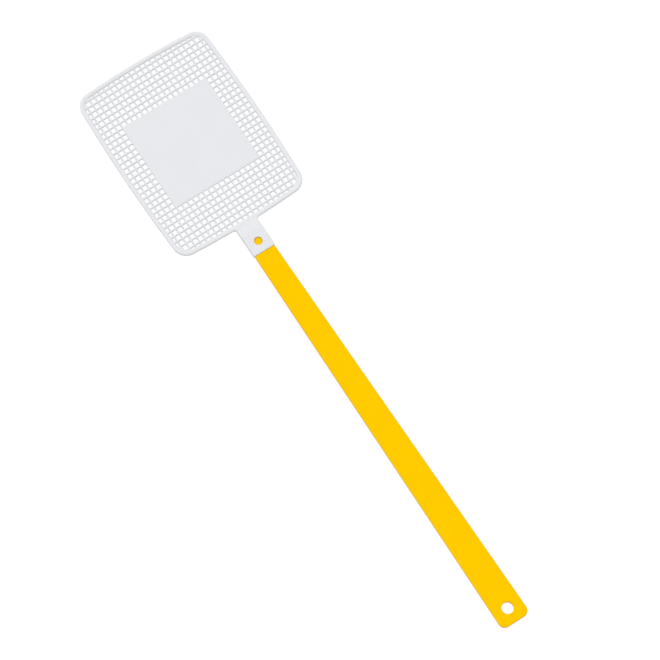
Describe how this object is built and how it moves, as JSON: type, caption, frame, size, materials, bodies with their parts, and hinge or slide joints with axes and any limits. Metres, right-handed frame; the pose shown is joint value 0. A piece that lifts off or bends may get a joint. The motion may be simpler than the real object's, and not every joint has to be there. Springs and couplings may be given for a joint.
{
  "type": "fly swatter",
  "caption": "Manual fly swatter: a bowed rectangular mesh head with a solid centre panel, snapped by its socket onto a flat tapered handle with a hanging hole.",
  "frame": {"origin": "midway along the whole length, on the centre line, in the plane of the socket's underside", "axes": "+Y towards the tip of the head, +Z out of the face that shows the stud, +X to the right seen from above with the head up"},
  "size_m": [0.1004, 0.4446, 0.0046],
  "materials": {
    "white_plastic": "satin, as moulded",
    "yellow_plastic": "satin, as moulded"
  },
  "bodies": {
    "handle": {"handle": "yellow_plastic", "snap_stud": "yellow_plastic"},
    "head": {"swatter_head": "white_plastic"}
  },
  "joints": [
    {"name": "head_pull", "type": "slide", "parent": "handle", "child": "head", "axis": [0, 1, 0], "range_m": [0, 0.024], "deforming": ["snap_stud"]}
  ]
}
